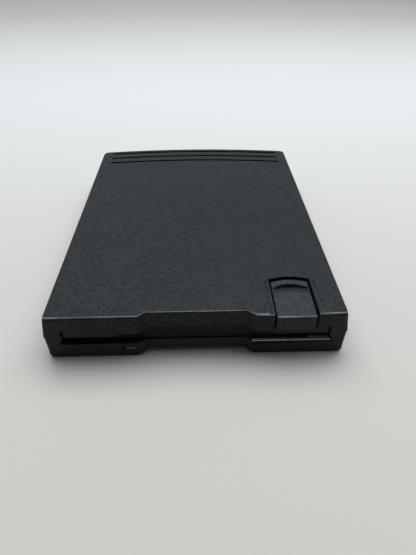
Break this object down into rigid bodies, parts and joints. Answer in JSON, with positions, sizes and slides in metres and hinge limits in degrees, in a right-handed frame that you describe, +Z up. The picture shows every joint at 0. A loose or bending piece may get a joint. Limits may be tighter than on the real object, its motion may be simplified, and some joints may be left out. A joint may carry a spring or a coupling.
{
  "type": "external floppy disk drive",
  "caption": "Portable slim drive for 3.5-inch disks: two-part plastic case, sprung dust door, eject button and the loading and head mechanism inside.",
  "frame": {"origin": "middle of the footprint, on the surface that the feet stand on", "axes": "+Z up, -Y towards the disk slot, +X right seen from the slot"},
  "size_m": [0.104, 0.138, 0.0194],
  "materials": {
    "top_plastic": "fine matt texture, dark grey",
    "base_plastic": "fine matt texture, near black",
    "door_plastic": "smooth, near black",
    "lens": "clear green, moulded",
    "steel": "plain sheet",
    "zinc": "plated or die cast",
    "rubber": "matt",
    "board": "green solder mask",
    "black_plastic": "moulded",
    "white_plastic": "moulded",
    "copper": "enamelled wire over iron teeth",
    "ribbon": "amber film"
  },
  "bodies": {
    "case": {"top_cover": "top_plastic", "bottom_cover": "base_plastic", "slot_guide_strip": "steel", "led_lens": "lens", "foot_front_left": "rubber", "foot_front_right": "rubber", "foot_rear_left": "rubber", "foot_rear_right": "rubber", "case_screw_left": "zinc", "case_screw_right": "zinc", "chassis_tray": "steel", "chassis_screw_1": "zinc", "chassis_screw_2": "zinc", "chassis_screw_3": "zinc", "chassis_screw_4": "zinc", "drive_cover": "steel", "slide_spring_left": "steel", "slide_spring_right": "steel", "motor_board": "board", "stator_ring": "copper", "disk_switch": "black_plastic", "protect_switch": "black_plastic", "guide_rod": "steel", "stepper_motor": "zinc", "control_board": "board", "controller_chip": "black_plastic", "track_sensor": "black_plastic", "head_ribbon": "ribbon", "interface_board": "board", "socket_shell": "steel", "socket_insert": "black_plastic"},
    "eject_slide": {"slide_plate": "steel", "eject_button": "top_plastic"},
    "disk_holder": {"disk_holder": "steel"},
    "shutter_lever": {"shutter_lever": "steel"},
    "dust_door": {"dust_door": "door_plastic"},
    "spindle": {"rotor_hub": "steel"},
    "head_carriage": {"head_carriage": "zinc", "lower_head": "white_plastic"},
    "upper_arm": {"upper_arm": "steel", "upper_head": "white_plastic"},
    "lead_screw": {"lead_screw": "steel"},
    "disk_plunger": {"disk_plunger": "white_plastic"},
    "protect_plunger": {"protect_plunger": "white_plastic"}
  },
  "joints": [
    {"name": "eject_slide", "type": "slide", "parent": "case", "child": "eject_slide", "axis": [0, -1, 0], "range_m": [-0.0006, 0.0055], "deforming": ["slide_spring_left", "slide_spring_right"]},
    {"name": "holder_drop", "type": "slide", "parent": "case", "child": "disk_holder", "axis": [0, 0, -1], "range_m": [-0.0002, 0.0016]},
    {"name": "shutter_lever_turn", "type": "hinge", "parent": "disk_holder", "child": "shutter_lever", "pos_m": [-0.0385, 0.0175, 0.0116], "axis": [0, 0, 1], "range_deg": [0, 66], "stiffness_Nm_per_rad": 0.001, "springref_deg": -17.19},
    {"name": "dust_door_swing", "type": "hinge", "parent": "case", "child": "dust_door", "pos_m": [0, -0.0651, 0.0127], "axis": [1, 0, 0], "range_deg": [0, 80], "stiffness_Nm_per_rad": 0.001, "springref_deg": -17.19},
    {"name": "spindle_turn", "type": "hinge", "parent": "case", "child": "spindle", "pos_m": [0, -0.02, 0.0035], "axis": [0, 0, 1], "continuous": true},
    {"name": "head_travel", "type": "slide", "parent": "case", "child": "head_carriage", "axis": [0, -1, 0], "range_m": [0, 0.0148], "deforming": ["head_ribbon"]},
    {"name": "lead_screw_turn", "type": "hinge", "parent": "case", "child": "lead_screw", "pos_m": [0.012, 0.0218, 0.0076], "axis": [0, 1, 0], "range_deg": [0, 1777]},
    {"name": "upper_arm_lift", "type": "hinge", "parent": "head_carriage", "child": "upper_arm", "pos_m": [0, 0.0426, 0.0124], "axis": [1, 0, 0], "range_deg": [-1.1, 9.85]},
    {"name": "disk_plunger_press", "type": "slide", "parent": "case", "child": "disk_plunger", "axis": [0, 0, -1], "range_m": [0, 0.0012], "stiffness_N_per_m": 100, "springref_m": -0.0005},
    {"name": "protect_plunger_press", "type": "slide", "parent": "case", "child": "protect_plunger", "axis": [0, 0, -1], "range_m": [0, 0.0012], "stiffness_N_per_m": 100, "springref_m": -0.0005}
  ],
  "couplings": [
    {"joint": "holder_drop", "follows": "eject_slide", "ratio": 0.2909},
    {"joint": "upper_arm_lift", "follows": "eject_slide", "rad_per_m": 31.1},
    {"joint": "lead_screw_turn", "follows": "head_travel", "rad_per_m": 2094.4}
  ]
}
